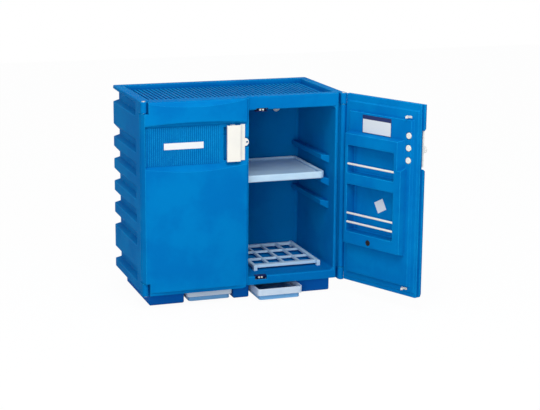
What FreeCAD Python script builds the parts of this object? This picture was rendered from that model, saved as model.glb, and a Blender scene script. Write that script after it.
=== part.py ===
import FreeCAD, Part
import math
import os
from types import SimpleNamespace

import Sketcher
from FreeCAD import Placement, Rotation, Vector

# Two-door moulded safety cabinet for under a bench, with lift-out trays.
# The frame: X to the right, Y from the doors to the back, Z up from the floor, and the origin on the
# floor in the middle of the closed cabinet. A depth is counted back from the closed doors' flat face.
# A width is counted from the middle of the cabinet; what is made for the right is mirrored for the left.
# A height is counted up from the floor unless its note says that it is counted down.

doc = FreeCAD.newDocument("cabinet")
sheet = doc.addObject("Spreadsheet::Sheet", "Sizes")

SIZES = {
    # the whole cabinet
    "cabinetWidth": 930,
    "cabinetDepth": 540,
    "cabinetHeight": 914,
    "seatGap": 0.3,
    "pinFit": 0.06,
    # front frame and compartment
    "frameDepth": 28,
    "shellBottom": 72,
    "sillTop": 110,
    "openingTop": 58,  # down from the top
    "openingWidth": 836,
    "compartmentDepth": 477,
    "compartmentRound": 14,
    "edgeBevel": 4,
    "wall": 5,
    "shellRound": 12,
    # corner relief behind the hinge barrels
    "reliefWidth": 35,
    "reliefDepth": 15,
    "cornerBevel": 10,
    # worktop with its raised edge
    "worktopSideRim": 40,
    "worktopFrontRim": 44,
    "worktopBackRim": 38,
    "worktopDrop": 22,
    "worktopRound": 16,
    "worktopRibPitch": 20,
    "worktopRibWidth": 9,
    "worktopRibHeight": 4,
    "worktopRibCount": 41,
    "worktopRibEnd": 18,
    # grooves pressed into the sides and the back
    "grooveFront": 78,
    "grooveDepth": 25,
    "backGrooveDepth": 18,
    "grooveFloor": 22,
    "grooveUpperSlope": 28,
    "grooveLowerSlope": 12,
    "groovePitch": 103,
    "grooveFirst": 273,
    "topGrooveBottom": 75,  # down from the top
    "topGrooveFloor": 31,
    "topGrooveSlope": 19,
    "lowGrooveBottom": 106,
    # ledges that carry the shelf
    "ledgeReach": 28,
    "ledgeHeight": 35,
    "ledgeNose": 20,
    "ledgeFront": 98,
    "ledgePitch": 105,
    "lowLedgeTop": 412,
    # feet and tray runners
    "footInsetFront": 84,
    "footInsetBack": 45,
    "footInsetSide": 42.5,
    "outerFootWidth": 158.5,
    "centreFootWidth": 74,
    "footRound": 7,
    "runnerFront": 60,
    "runnerHeight": 14,
    # hinge
    "hingeInset": 11,
    "hingeDepth": 26,
    "barrelRadius": 13,
    "lugRadius": 14,
    "topLugHeight": 48,
    "bottomLugTop": 121,
    "bottomLugBottom": 66,
    "lugGap": 2.5,
    "pinRadius": 5,
    "pinHeadRadius": 8.5,
    "pinHeadHeight": 3,
    "pinReach": 32,
    "doorRestAngle": 115,
    # doors
    "doorBottom": 68,
    "doorThickness": 22,
    "doorGap": 1,
    "doorRound": 4,
    "doorCorner": 18,
    "lugClearance": 15.5,
    "barrelFace": 2,
    "barrelBevel": 30,
    "lipReach": 11,
    "lipThickness": 12,
    "lipClearance": 1.5,
    "lipOverlap": 9,
    "bandSeat": 4,
    "bandEdge": 22,
    "bandRise": 18,
    "bandFall": 28,
    "innerPanelRise": 10,
    "innerPanelFree": 45,
    "innerPanelHinge": 8,
    "innerPanelGap": 3,
    "innerPanelTop": 12,
    "innerPanelSlope": 10,
    # bulges on the door faces
    "bulgeRise": 16,
    "bulgeSide": 8,
    "bulgeSlope": 20,
    "bulgeFoot": 6,
    "upperBulgeBottom": 100,  # down from the top
    "lowerBulgeTop": 285,  # down from the top
    "bulgeTopMargin": 5,
    "lowerBulgeBottom": 14,
    # recessed band with flutes across each door
    "handBandBottom": 278,  # down from the top
    "handBandTop": 112,  # down from the top
    "handBandDepth": 12,
    "handBandSlope": 10,
    "fluteFirst": 122,
    "flutePitch": 9,
    "fluteWidth": 4.5,
    "fluteHeight": 2,
    "fluteCount": 37,
    "scoopInner": 78,
    "scoopOuter": 105,
    "scoopDepth": 14,
    "scoopMargin": 10,
    # pocket housing on the inside of each door
    "housingFree": 76,
    "housingBottom": 246,
    "housingTop": 160,  # down from the top
    "housingRise": 28,
    "housingSlope": 8,
    "housingTopSlope": 8,
    "capCutInner": 88,
    "capCutOuter": 107,
    "capCutBottom": 278,  # down from the top
    "capCutSlope": 16,
    "pocketFree": 122,
    "pocketHinge": 392,
    "pocketFloor": 8,
    "upperPocketBottom": 344,  # down from the top
    "upperPocketTop": 218,  # down from the top
    "lowerPocketBottom": 306,
    "lowerPocketTop": 392,  # down from the top
    "pocketRound": 6,
    "rodRadius": 4.7,
    "rodSocket": 10,
    "rodSetback": 7,
    "upperRodHeight": 303,  # down from the top
    "middleRodHeight": 389,
    "lowerRodHeight": 349,
    "plugWidth": 260,
    "plugHeight": 275,
    "plugRadius": 12.5,
    "plugStem": 9,
    "plugStemLength": 9,
    "plugRim": 3,
    # handle
    "handleBottom": 271,  # down from the top
    "handleHeight": 158,
    "handleFree": 36,
    "handleOuter": 96,
    "handleProud": 15,
    "handleWall": 4,
    "handleLip": 10,
    "handleFlange": 10,
    "handleStep": 28,
    "flangeThickness": 3.5,
    "leftFlangeDepth": 8,
    "rightFlangeDepth": 3,
    "seatInner": 58,
    "seatOuter": 76,
    "tabRadius": 17,
    "tabCentre": 9,
    "padlockRadius": 4.5,
    "padlockWell": 22,
    "padlockWellDepth": 7,
    "handleRound": 1.5,
    "screwPitch": 53.5,
    "screwWidth": 67,
    "screwRadius": 2.5,
    "screwHead": 6,
    "screwHeadHeight": 3,
    "screwReach": 14,
    "capRadius": 13.5,
    "capWell": 16.5,
    "capWellDepth": 3,
    "capHeight": 5.5,
    "capRound": 2,
    # roller catches and strikes
    "catchWidth": 75,
    "topCatchHeight": 1,  # down from the top of the opening
    "bottomCatchHeight": 8,  # down from the sill
    "catchHalfLength": 27,
    "catchHalfHeight": 8,
    "catchPlate": 1.5,
    "catchFront": 30,
    "catchBack": 57.5,
    "catchNotch": 1,
    "armPivotOut": 20,
    "armPivotDepth": 50,
    "armPivotRadius": 3,
    "armPinRadius": 1.5,
    "armWidth": 5,
    "armPlate": 1.2,
    "armClearance": 0.4,
    "rollerOut": 6.4,
    "rollerDepth": 38,
    "rollerRadius": 4.5,
    "rollerHalfHeight": 4,
    "rollerGap": 0.2,
    "catchScrewOut": 23,
    "catchScrewDepth": 36,
    "catchScrewRadius": 1.8,
    "catchScrewHead": 3.4,
    "catchScrewHeadHeight": 1.6,
    "catchScrewReach": 12,
    "strikeHalfLength": 15,
    "strikeHalfHeight": 4.5,
    "strikePlate": 2,
    "strikeNeck": 1.5,
    "strikeBarb": 4.5,
    "strikeBarbDepth": 43.5,
    "strikeTip": 52,
    "strikeScrewOut": 10.5,
    "strikeScrewRadius": 1.5,
    "strikeScrewHead": 2.8,
    "strikeScrewHeadHeight": 1.4,
    "strikeScrewReach": 11,
    # plates and cards
    "plateFree": 196,
    "plateLength": 175,
    "plateBottom": 208,  # down from the top
    "plateHeight": 28,
    "plateThickness": 1.2,
    "cardFree": 166,
    "cardLength": 164,
    "cardBottom": 159,  # down from the top
    "cardHeight": 79,
    "cardThickness": 1,
    "tagWidth": 241,
    "tagHeight": 478,  # down from the top
    "tagLength": 53,
    "tagBreadth": 51,
    "tagTilt": 28,
    # shelf
    "shelfWidth": 808,
    "shelfFront": 105,
    "shelfBackGap": 12,
    "shelfHeight": 32,
    "shelfLip": 15,
    "shelfDish": 12,
    "shelfSkin": 5,
    "shelfRibs": 7,
    "shelfRibWidth": 6,
    "shelfRound": 26,
    "shelfEdgeRound": 6,
    # racks
    "rackWidth": 318,
    "rackCentre": 229,
    "rackFront": 126,
    "rackDepth": 360,
    "rackHeight": 13,
    "rackFootHeight": 9,
    "rackFootLength": 18,
    "rackFootReach": 14,
    "rackRail": 16,
    "rackRailRise": 3,
    "rackBar": 16,
    "rackSlat": 10,
    "rackSlatDrop": 3,
    "rackSlats": 3,
    "rackRound": 4,
    # trays
    "trayWidth": 207,
    "trayCentre": 151.5,
    "trayFront": 62,
    "trayDepth": 400,
    "trayBottom": 9,
    "trayTop": 60,
    "trayRimBottom": 30,
    "trayInset": 9,
    "trayWall": 4,
    "trayRound": 14,
    "trayPulledOut": 79,
    # vents
    "ventWidth": 309,
    "ventHeight": 134,  # down from the top
    "ventHole": 12,
    "ventCapRadius": 18,
    "ventCapThickness": 5,
    "ventStemLength": 28,
}


class Term:
    """A size or a sum of sizes: its expression for the sheet and its present value."""

    def __init__(self, text, value):
        self.text = text
        self.value = value

    def combine(self, sign, other, value, swapped=False):
        other = term(other)
        first, second = (other, self) if swapped else (self, other)
        return Term(f"({first.text} {sign} {second.text})", value(first.value, second.value))

    def __add__(self, other):
        return self.combine("+", other, lambda a, b: a + b)

    def __radd__(self, other):
        return self.combine("+", other, lambda a, b: a + b, True)

    def __sub__(self, other):
        return self.combine("-", other, lambda a, b: a - b)

    def __rsub__(self, other):
        return self.combine("-", other, lambda a, b: a - b, True)

    def __mul__(self, other):
        return self.combine("*", other, lambda a, b: a * b)

    def __rmul__(self, other):
        return self.combine("*", other, lambda a, b: a * b, True)

    def __truediv__(self, other):
        return self.combine("/", other, lambda a, b: a / b)

    def __neg__(self):
        return Term(f"(-1 * {self.text})", -self.value)


def term(number):
    return number if isinstance(number, Term) else Term(repr(number), number)


def sine(angle):
    return Term(f"sin({angle.text})", math.sin(math.radians(angle.value)))


def cosine(angle):
    return Term(f"cos({angle.text})", math.cos(math.radians(angle.value)))


for row, (alias, number) in enumerate(SIZES.items(), start=1):
    sheet.set(f"A{row}", alias)
    sheet.set(f"B{row}", str(number))
    sheet.setAlias(f"B{row}", alias)
doc.recompute()
s = SimpleNamespace(**{alias: Term(f"Sizes.{alias}", number) for alias, number in SIZES.items()})


def bind(thing, name, size):
    thing.setExpression(name, term(size).text)


def depth(size):
    """The Y of a depth counted back from the closed doors' flat face."""
    return size - s.cabinetDepth / 2


def down(size):
    """The height of a place counted down from the cabinet's top."""
    return s.cabinetHeight - size


def put(thing, x, y, z):
    bind(thing, "Placement.Base.x", x)
    bind(thing, "Placement.Base.y", y)
    bind(thing, "Placement.Base.z", z)


def block(name, x, y, z):
    """A box between two places on each axis."""
    box = doc.addObject("Part::Box", name)
    put(box, x[0], y[0], z[0])
    bind(box, "Length", term(x[1]) - x[0])
    bind(box, "Width", term(y[1]) - y[0])
    bind(box, "Height", term(z[1]) - z[0])
    return box


# which way a shape drawn along Z is turned so that it runs along another axis
ALONG = {
    "x": Rotation(Vector(0, 1, 0), 90),
    "y": Rotation(Vector(1, 0, 0), -90),
    "-y": Rotation(Vector(1, 0, 0), 90),
    "z": Rotation(),
    "-z": Rotation(Vector(1, 0, 0), 180),
}


def cylinder(name, along, centre, radius, length):
    """A round bar from centre, which is its middle at the end it starts from."""
    bar = doc.addObject("Part::Cylinder", name)
    bar.Placement = Placement(Vector(), ALONG[along])
    put(bar, *centre)
    bind(bar, "Radius", radius)
    bind(bar, "Height", length)
    return bar


def taper(name, axis, near, far):
    """A block whose section changes along an axis. near and far are (place, first span, second span),
    with the spans on the other two axes in X, Y, Z order."""
    wedge = doc.addObject("Part::Wedge", name)
    if axis == "x":
        wedge.Placement = Placement(Vector(), Rotation(Vector(0, 0, 1), -90))
        across = [(-term(end[1][1]), -term(end[1][0])) for end in (near, far)]
        upright = [end[2] for end in (near, far)]
    elif axis == "y":
        across = [end[1] for end in (near, far)]
        upright = [end[2] for end in (near, far)]
    else:
        wedge.Placement = Placement(Vector(), Rotation(Vector(1, 0, 0), 90))
        across = [end[1] for end in (near, far)]
        upright = [(-term(end[2][1]), -term(end[2][0])) for end in (near, far)]
    bind(wedge, "Ymin", near[0])
    bind(wedge, "Ymax", far[0])
    for index, names in enumerate((("Xmin", "Xmax", "Zmin", "Zmax"), ("X2min", "X2max", "Z2min", "Z2max"))):
        bind(wedge, names[0], across[index][0])
        bind(wedge, names[1], across[index][1])
        bind(wedge, names[2], upright[index][0])
        bind(wedge, names[3], upright[index][1])
    return wedge


def fuse(name, parts):
    joined = doc.addObject("Part::MultiFuse", name)
    joined.Shapes = parts
    joined.Refine = True
    return joined


def cut(name, base, tools):
    """Base with tools taken away. Tools that may overlap each other are fused first."""
    result = doc.addObject("Part::Cut", name)
    result.Base = base
    result.Tool = tools[0] if len(tools) == 1 else fuse(name + "Tools", tools)
    result.Refine = True
    return result


def common(name, base, tool):
    result = doc.addObject("Part::Common", name)
    result.Base = base
    result.Tool = tool
    return result


def mirrored(name, source):
    twin = doc.addObject("Part::Mirroring", name)
    twin.Source = source
    twin.Normal = Vector(1, 0, 0)
    return twin


def together(name, parts):
    """Separate solids in one node."""
    group = doc.addObject("Part::Compound", name)
    group.Links = parts
    return group


def plane(body, role):
    return next(item for item in body.Origin.OriginFeatures if item.Role == role)


def outline(body, name, role, corners, offset=0):
    """A closed outline of straight lines, each corner held by its two sizes, on a plane of the body."""
    sketch = body.newObject("Sketcher::SketchObject", name)
    sketch.AttachmentSupport = [(plane(body, role), "")]
    sketch.MapMode = "FlatFace"
    bind(sketch, "AttachmentOffset.Base.z", offset)
    corners = [(term(u), term(v)) for u, v in corners]
    places = [Vector(u.value, v.value, 0) for u, v in corners]
    last = len(corners) - 1
    for index, place in enumerate(places):
        sketch.addGeometry(Part.LineSegment(place, places[0 if index == last else index + 1]), False)
    for index in range(len(corners)):
        following = 0 if index == last else index + 1
        sketch.addConstraint(Sketcher.Constraint("Coincident", index, 2, following, 1))
    for index, (u, v) in enumerate(corners):
        for kind, size in (("DistanceX", u), ("DistanceY", v)):
            number = sketch.addConstraint(Sketcher.Constraint(kind, -1, 1, index, 1, size.value))
            sketch.setExpression(f"Constraints[{number}]", size.text)
    return sketch


def ring(body, name, role, centre, radius, offset=0):
    """A circle held by its centre and radius, on a plane of the body."""
    sketch = body.newObject("Sketcher::SketchObject", name)
    sketch.AttachmentSupport = [(plane(body, role), "")]
    sketch.MapMode = "FlatFace"
    bind(sketch, "AttachmentOffset.Base.z", offset)
    u, v, size = term(centre[0]), term(centre[1]), term(radius)
    sketch.addGeometry(Part.Circle(Vector(u.value, v.value, 0), Vector(0, 0, 1), size.value), False)
    for constraint, value in (
        (Sketcher.Constraint("DistanceX", -1, 1, 0, 3, u.value), u),
        (Sketcher.Constraint("DistanceY", -1, 1, 0, 3, v.value), v),
        (Sketcher.Constraint("Radius", 0, size.value), size),
    ):
        number = sketch.addConstraint(constraint)
        sketch.setExpression(f"Constraints[{number}]", value.text)
    return sketch


def new_body(name):
    return doc.addObject("PartDesign::Body", name)


def pad(body, sketch, length, backwards=False):
    feature = body.newObject("PartDesign::Pad", sketch.Name + "Pad")
    feature.Profile = sketch
    bind(feature, "Length", length)
    feature.Reversed = backwards
    body.Tip = feature
    return feature


def pocket(body, sketch, length, backwards=False):
    """A pocket that is checked to take something away."""
    doc.recompute()
    before = body.Shape.Volume
    feature = body.newObject("PartDesign::Pocket", sketch.Name + "Pocket")
    feature.Profile = sketch
    bind(feature, "Length", length)
    feature.Reversed = backwards
    body.Tip = feature
    doc.recompute()
    if body.Shape.Volume >= before:
        raise RuntimeError(f"{feature.Name} cuts nothing")
    return feature


def edges_where(shape, test):
    return [f"Edge{number}" for number, edge in enumerate(shape.Edges, start=1) if test(edge)]


def dressed(body, kind, size, test, name):
    """A fillet or chamfer on the edges of the body that pass a test."""
    doc.recompute()
    base = body.Tip
    feature = body.newObject(f"PartDesign::{kind}", name)
    feature.Base = (base, edges_where(base.Shape, test))
    bind(feature, "Radius" if kind == "Fillet" else "Size", size)
    body.Tip = feature
    return feature


def runs_along(edge, axis):
    """Whether a straight edge runs along an axis, 0 to 2 for X to Z."""
    if not isinstance(edge.Curve, Part.Line):
        return False
    return abs(abs(edge.Curve.Direction[axis]) - 1) < 1e-6


def at(edge, axis, place):
    return abs(edge.CenterOfMass[axis] - term(place).value) < 1e-3


def rounded_block(name, x, y, z, radius, test):
    """A padded box with rounded edges."""
    body = new_body(name)
    corners = [(x[0], y[0]), (x[1], y[0]), (x[1], y[1]), (x[0], y[1])]
    pad(body, outline(body, name + "Plan", "XY_Plane", corners, z[0]), term(z[1]) - z[0])
    dressed(body, "Fillet", radius, test, name + "Round")
    return body


def turned(name, profile, along, centre):
    """A turned piece: profile is its outline as (radius, height) pairs, from its axis round to its axis."""
    body = new_body(name)
    sketch = outline(body, name + "Profile", "XZ_Plane", profile)
    feature = body.newObject("PartDesign::Revolution", name + "Turn")
    feature.Profile = sketch
    feature.ReferenceAxis = (sketch, ["V_Axis"])
    feature.Angle = 360
    body.Tip = feature
    body.Placement = Placement(Vector(), ALONG[along])
    put(body, *centre)
    return body


NODES = []


def node(thing, name):
    """Names a finished sub-part."""
    thing.Label = name
    NODES.append(thing)
    return thing


class Hand:
    """One side of the cabinet: turns a span or place made for the right into that side's own."""

    def __init__(self, name, sign):
        self.name = name
        self.sign = sign

    def span(self, low, high):
        return (term(low), term(high)) if self.sign > 0 else (-term(high), -term(low))

    def place(self, width):
        return term(width) if self.sign > 0 else -term(width)

    def corners(self, points):
        return [(self.place(width), depth(term(back))) for width, back in points]


LEFT = Hand("left", -1)
RIGHT = Hand("right", 1)
HANDS = (LEFT, RIGHT)

half_width = s.cabinetWidth / 2
hinge_width = half_width - s.hingeInset
opening_half = s.openingWidth / 2
compartment_back = s.frameDepth + s.compartmentDepth
relief_face = s.frameDepth + s.reliefDepth
worktop = s.cabinetHeight - s.worktopDrop
lug_bottom = s.cabinetHeight - s.topLugHeight
shelf_ledge = s.lowLedgeTop + s.ledgePitch
opening_top = down(s.openingTop)
top_groove = down(s.topGrooveBottom)
top_catch = opening_top - s.topCatchHeight
bottom_catch = s.sillTop - s.bottomCatchHeight
upper_bulge = down(s.upperBulgeBottom)
lower_bulge = down(s.lowerBulgeTop)
band_low = down(s.handBandBottom)
band_high = down(s.handBandTop)
housing_top = down(s.housingTop)
cap_cut = down(s.capCutBottom)
upper_pocket_low = down(s.upperPocketBottom)
upper_pocket_high = down(s.upperPocketTop)
lower_pocket_high = down(s.lowerPocketTop)
upper_rod = down(s.upperRodHeight)
handle_low = down(s.handleBottom)
plate_low = down(s.plateBottom)
card_low = down(s.cardBottom)
tag_middle = down(s.tagHeight)
vent_height = down(s.ventHeight)
past = 1


def swing(thing):
    """Turns a piece of the right door about its hinge, from closed to where the door stands."""
    angle = s.doorRestAngle
    y = depth(s.hingeDepth)
    thing.Placement = Placement(Vector(), Rotation(Vector(0, 0, 1), angle.value))
    bind(thing, "Placement.Rotation.Angle", angle)
    bind(thing, "Placement.Base.x", hinge_width - (hinge_width * cosine(angle) - y * sine(angle)))
    bind(thing, "Placement.Base.y", y - (hinge_width * sine(angle) + y * cosine(angle)))
    return thing


def door_node(hand, thing, name):
    """Names a sub-part of a door, and swings it if the door stands open."""
    if hand is RIGHT:
        holder = doc.addObject("Part::Compound", "open_" + name)
        holder.Links = [thing]
        thing = swing(holder)
    return node(thing, f"{hand.name}_{name}")


# The cabinet's moulding

def cabinet_shell():
    """The outer block, stepped back at the front corners to clear the hinge barrels."""
    shell = new_body("shell")
    jamb = half_width - s.reliefWidth
    right = [
        (jamb, s.frameDepth),
        (jamb, relief_face),
        (half_width - s.cornerBevel, relief_face),
        (half_width, relief_face + s.cornerBevel),
        (half_width, s.cabinetDepth),
    ]
    plan = [(width, depth(back)) for width, back in right]
    plan += [(-width, depth(back)) for width, back in reversed(right)]
    height = s.cabinetHeight - s.shellBottom
    pad(shell, outline(shell, "shellPlan", "XY_Plane", plan, s.shellBottom), height)
    back = depth(s.cabinetDepth)
    dressed(shell, "Fillet", s.shellRound, lambda e: runs_along(e, 2) and at(e, 1, back), "shellCorners")
    dressed(shell, "Fillet", s.doorRound, lambda e: at(e, 2, s.cabinetHeight), "rimRound")
    return shell


def groove_count():
    """How many grooves fit between the first and the top one with a proud band above the last."""
    first = s.grooveFirst + s.grooveLowerSlope / 2 + s.grooveFloor + s.grooveUpperSlope
    room = top_groove - 3 * s.wall - first
    return int(room.value // s.groovePitch.value) + 1


def grooves():
    """Grooves round the sides and the back: (outer bottom, lower slope, floor, upper slope)."""
    levels = []
    for count in range(groove_count()):
        bottom = s.grooveFirst + s.groovePitch * count - s.grooveLowerSlope / 2
        levels.append((bottom, s.grooveLowerSlope, s.grooveFloor, s.grooveUpperSlope))
    levels.append((top_groove, s.grooveLowerSlope, s.topGrooveFloor, s.topGrooveSlope))
    levels.append((s.lowGrooveBottom, s.grooveLowerSlope, s.grooveFloor, s.grooveUpperSlope))
    back = depth(s.cabinetDepth)
    front = depth(relief_face + s.grooveFront)
    side, rear = [], []
    for count, (low, rise, floor, fall) in enumerate(levels):
        inner = (low + rise, low + rise + floor)
        outer = (low - past, low + rise + floor + fall + past)
        side.append(taper(
            f"sideGroove{count}", "x",
            (half_width - s.grooveDepth, (front + s.grooveDepth, back + past), inner),
            (half_width + past, (front - past, back + past), outer),
        ))
        span = half_width - s.grooveDepth
        rear.append(taper(
            f"backGroove{count}", "y",
            (back - s.backGrooveDepth, (-span, span), inner),
            (back + past, (-half_width - past, half_width + past), outer),
        ))
    right = fuse("rightGrooves", side)
    return [right, mirrored("leftGrooves", right)] + rear


def hollows():
    """The space between the two skins of the moulding, behind each band that stands proud."""
    bands = []
    tall = s.grooveLowerSlope + s.grooveFloor + s.grooveUpperSlope
    for count in range(groove_count() - 1):
        start = s.grooveFirst + s.groovePitch * count - s.grooveLowerSlope / 2
        bands.append((start + tall, start + s.groovePitch))
    bands.append((s.lowGrooveBottom + tall, s.grooveFirst - s.grooveLowerSlope / 2))
    last = s.grooveFirst + s.groovePitch * (groove_count() - 1) - s.grooveLowerSlope / 2
    bands.append((last + tall, top_groove))
    front = depth(relief_face + s.cornerBevel + s.wall)
    inside, outside = opening_half + s.wall, half_width - s.wall
    recess = half_width - s.grooveDepth - s.wall
    back = (depth(compartment_back + s.wall), depth(s.cabinetDepth - s.wall))
    rear = depth(s.cabinetDepth - s.backGrooveDepth - s.wall)
    spaces = []
    for count, (low, high) in enumerate(bands):
        height = (low + s.wall, high - s.wall)
        for hand in HANDS:
            x = hand.span(inside, outside)
            spaces.append(block(f"{hand.name}Hollow{count}", x, (front, back[1]), height))
        spaces.append(block(f"backHollow{count}", (-inside - past, inside + past), back, height))
    tall = (s.shellBottom + s.wall, worktop - s.wall)
    for hand in HANDS:
        spaces.append(block(f"{hand.name}WallHollow", hand.span(inside, recess), (front, rear), tall))
    spaces.append(block("backWallHollow", (-recess, recess), (back[0], rear), tall))
    along = (depth(s.catchBack + s.catchNotch + s.wall), rear)
    spaces.append(block("topHollow", (-recess, recess), along, (opening_top + s.wall, worktop - s.wall)))
    floor = (s.shellBottom + s.wall, s.sillTop - s.wall)
    spaces.append(block("floorHollow", (-recess, recess), along, floor))
    inner, outer, middle = foot_widths()
    deep = (depth(s.footInsetFront + s.wall), depth(s.cabinetDepth - s.footInsetBack - s.wall))
    low = (s.wall, s.shellBottom + s.wall + past)
    spaces.append(block("centreFootHollow", (s.wall - middle, middle - s.wall), deep, low))
    for hand in HANDS:
        x = hand.span(inner + s.wall, outer - s.wall)
        spaces.append(block(f"{hand.name}FootHollow", x, deep, low))
    return spaces


def compartment():
    back = depth(compartment_back)
    front = depth(s.frameDepth)
    space = rounded_block(
        "compartment", (-opening_half, opening_half), (front - past, back), (s.sillTop, opening_top),
        s.compartmentRound, lambda e: not at(e, 1, front - past),
    )
    bevel = s.edgeBevel
    mouth = taper(
        "mouthBevel", "y",
        (front - past, (-opening_half - bevel, opening_half + bevel),
         (s.sillTop - bevel, opening_top + bevel)),
        (front + bevel, (-opening_half, opening_half), (s.sillTop, opening_top)),
    )
    return [space, mouth]


def worktop_recess():
    low = worktop
    return rounded_block(
        "worktopRecess",
        (-half_width + s.worktopSideRim, half_width - s.worktopSideRim),
        (depth(s.frameDepth + s.worktopFrontRim), depth(s.cabinetDepth - s.worktopBackRim)),
        (low, s.cabinetHeight + past), s.worktopRound, lambda e: runs_along(e, 2),
    )


def ribs(name, first, spans, pitch, count, direction):
    """Equal ribs side by side in a body of their own."""
    body = new_body(name)
    (x, y), (low, high) = spans
    corners = [(x[0], y[0]), (x[1], y[0]), (x[1], y[1]), (x[0], y[1])]
    rib = pad(body, outline(body, first, "XY_Plane", corners, low), term(high) - low)
    row = body.newObject("PartDesign::LinearPattern", name + "Row")
    row.Originals = [rib]
    row.Direction = (plane(body, direction), [""])
    bind(row, "Length", pitch * (count - 1))
    bind(row, "Occurrences", count)
    body.Tip = row
    return body


def worktop_ribs():
    front = s.frameDepth + s.worktopFrontRim + s.worktopRibEnd
    back = s.cabinetDepth - s.worktopBackRim - s.worktopRibEnd
    start = -s.worktopRibPitch * (s.worktopRibCount - 1) / 2 - s.worktopRibWidth / 2
    spans = ((start, start + s.worktopRibWidth), (depth(front), depth(back)))
    heights = (worktop - past, worktop + s.worktopRibHeight)
    return ribs("worktopRibs", "firstRib", (spans, heights), s.worktopRibPitch, s.worktopRibCount, "X_Axis")


def ledges():
    wall = opening_half
    side = []
    for count in range(3):
        top = s.lowLedgeTop + s.ledgePitch * count
        side.append(taper(
            f"ledge{count}", "x",
            (wall - s.ledgeReach, (depth(s.ledgeFront + s.ledgeReach), depth(compartment_back + past)),
             (top - s.ledgeNose, top)),
            (wall + past, (depth(s.ledgeFront - past), depth(compartment_back + past)),
             (top - s.ledgeHeight, top)),
        ))
    right = fuse("rightLedges", side)
    return [right, mirrored("leftLedges", right)]


def foot_widths():
    outer = half_width - s.footInsetSide
    return outer - s.outerFootWidth, outer, s.centreFootWidth / 2


def feet():
    front = depth(s.footInsetFront)
    back = depth(s.cabinetDepth - s.footInsetBack)
    inner, outer, middle = foot_widths()
    height = (term(0), s.shellBottom + past)
    below = lambda e: not at(e, 2, s.shellBottom + past)
    pieces = [rounded_block("centreFoot", (-middle, middle), (front, back), height, s.footRound, below)]
    tray_side = s.trayWidth / 2 - s.trayInset
    reach = 5 * s.seatGap
    rail_heights = (s.trayRimBottom - s.seatGap - s.runnerHeight, s.trayRimBottom - s.seatGap)
    rail_depths = (front + s.runnerFront, back)
    for hand in HANDS:
        pieces.append(rounded_block(
            f"{hand.name}Foot", hand.span(inner, outer), (front, back), height, s.footRound, below
        ))
        low = s.trayCentre - tray_side - reach
        high = s.trayCentre + tray_side + reach
        pieces.append(block(
            f"{hand.name}InnerRunner", hand.span(middle - past, low), rail_depths, rail_heights
        ))
        pieces.append(block(
            f"{hand.name}OuterRunner", hand.span(high, inner + past), rail_depths, rail_heights
        ))
    return pieces


def lugs():
    """The moulding's ears that hold the hinge pins."""
    pieces = []
    heights = {"Top": (lug_bottom, s.cabinetHeight), "Bottom": (s.bottomLugBottom, s.bottomLugTop)}
    for hand in HANDS:
        for where, (low, high) in heights.items():
            centre = (hand.place(hinge_width), depth(s.hingeDepth), low)
            pieces.append(cylinder(f"{hand.name}{where}Lug", "z", centre, s.lugRadius, high - low))
            span = hand.span(hinge_width - s.lugRadius, hinge_width + s.lugRadius)
            back = relief_face + s.cornerBevel * 2
            pieces.append(block(
                f"{hand.name}{where}LugRoot", span, (depth(s.hingeDepth), depth(back)), (low, high)
            ))
    return pieces


def pin_bores(radius):
    """Holes for the four hinge pins through the lugs."""
    bores = []
    for hand in HANDS:
        x, y = hand.place(hinge_width), depth(s.hingeDepth)
        top = (x, y, lug_bottom - past)
        bores.append(cylinder(f"{hand.name}TopPinBore", "z", top, radius, s.topLugHeight + 2 * past))
        low = (x, y, s.bottomLugBottom - past)
        length = s.bottomLugTop - s.bottomLugBottom + 2 * past
        bores.append(cylinder(f"{hand.name}BottomPinBore", "z", low, radius, length))
    return bores


def catch_notches():
    """Recesses in the frame's edges for the roller catches, with the catches' screw holes."""
    tools = []
    for hand in HANDS:
        low, high = s.catchWidth - s.catchHalfLength, s.catchWidth + s.catchHalfLength
        x = hand.span(low - s.catchNotch, high + s.catchNotch)
        y = (depth(s.frameDepth - past), depth(s.catchBack + s.catchNotch))
        for name, height, turn in (("Top", top_catch, 1), ("Bottom", bottom_catch, -1)):
            seat = height + turn * s.catchHalfHeight
            edge = (opening_top - past) if turn > 0 else (s.sillTop + past)
            z = (edge, seat) if turn > 0 else (seat, edge)
            tools.append(block(f"{hand.name}{name}Notch", x, y, z))
            for out in (-1, 1):
                place = (hand.place(s.catchWidth) + out * s.catchScrewOut, depth(s.catchScrewDepth), seat)
                tools.append(cylinder(
                    f"{hand.name}{name}ScrewHole{out + 1}", "z" if turn > 0 else "-z", place,
                    s.catchScrewRadius + s.pinFit, s.catchScrewReach,
                ))
    return tools


def vent_holes():
    bores = []
    for hand in HANDS:
        centre = (hand.place(s.ventWidth), depth(compartment_back - past), vent_height)
        bores.append(cylinder(
            f"{hand.name}VentHole", "y", centre, s.ventHole, s.cabinetDepth - compartment_back + 2 * past
        ))
    return bores


def cabinet_body():
    block_with_lugs = fuse("shellWithLugs", [cabinet_shell()] + lugs())
    spaces = compartment() + [worktop_recess()] + grooves()
    carved = cut("carvedShell", block_with_lugs, spaces)
    filled = fuse("filledShell", [carved, worktop_ribs()] + ledges() + feet())
    tools = catch_notches() + vent_holes() + pin_bores(s.pinRadius + s.pinFit) + hollows()
    node(cut("cabinetBody", filled, tools), "cabinet_body")


def vent_caps():
    caps = []
    for hand in HANDS:
        radius, thickness = s.ventCapRadius, s.ventCapThickness
        stem = s.ventHole - s.pinFit
        profile = [
            (0, 0), (stem, 0), (stem, s.ventStemLength), (radius, s.ventStemLength),
            (radius, s.ventStemLength + thickness / 2), (radius - 2, s.ventStemLength + thickness),
            (0, s.ventStemLength + thickness),
        ]
        face = depth(compartment_back)
        centre = (hand.place(s.ventWidth), face + s.ventStemLength, vent_height)
        caps.append(turned(f"{hand.name}VentCap", profile, "-y", centre))
    node(together("ventCaps", caps), "vent_caps")


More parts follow.
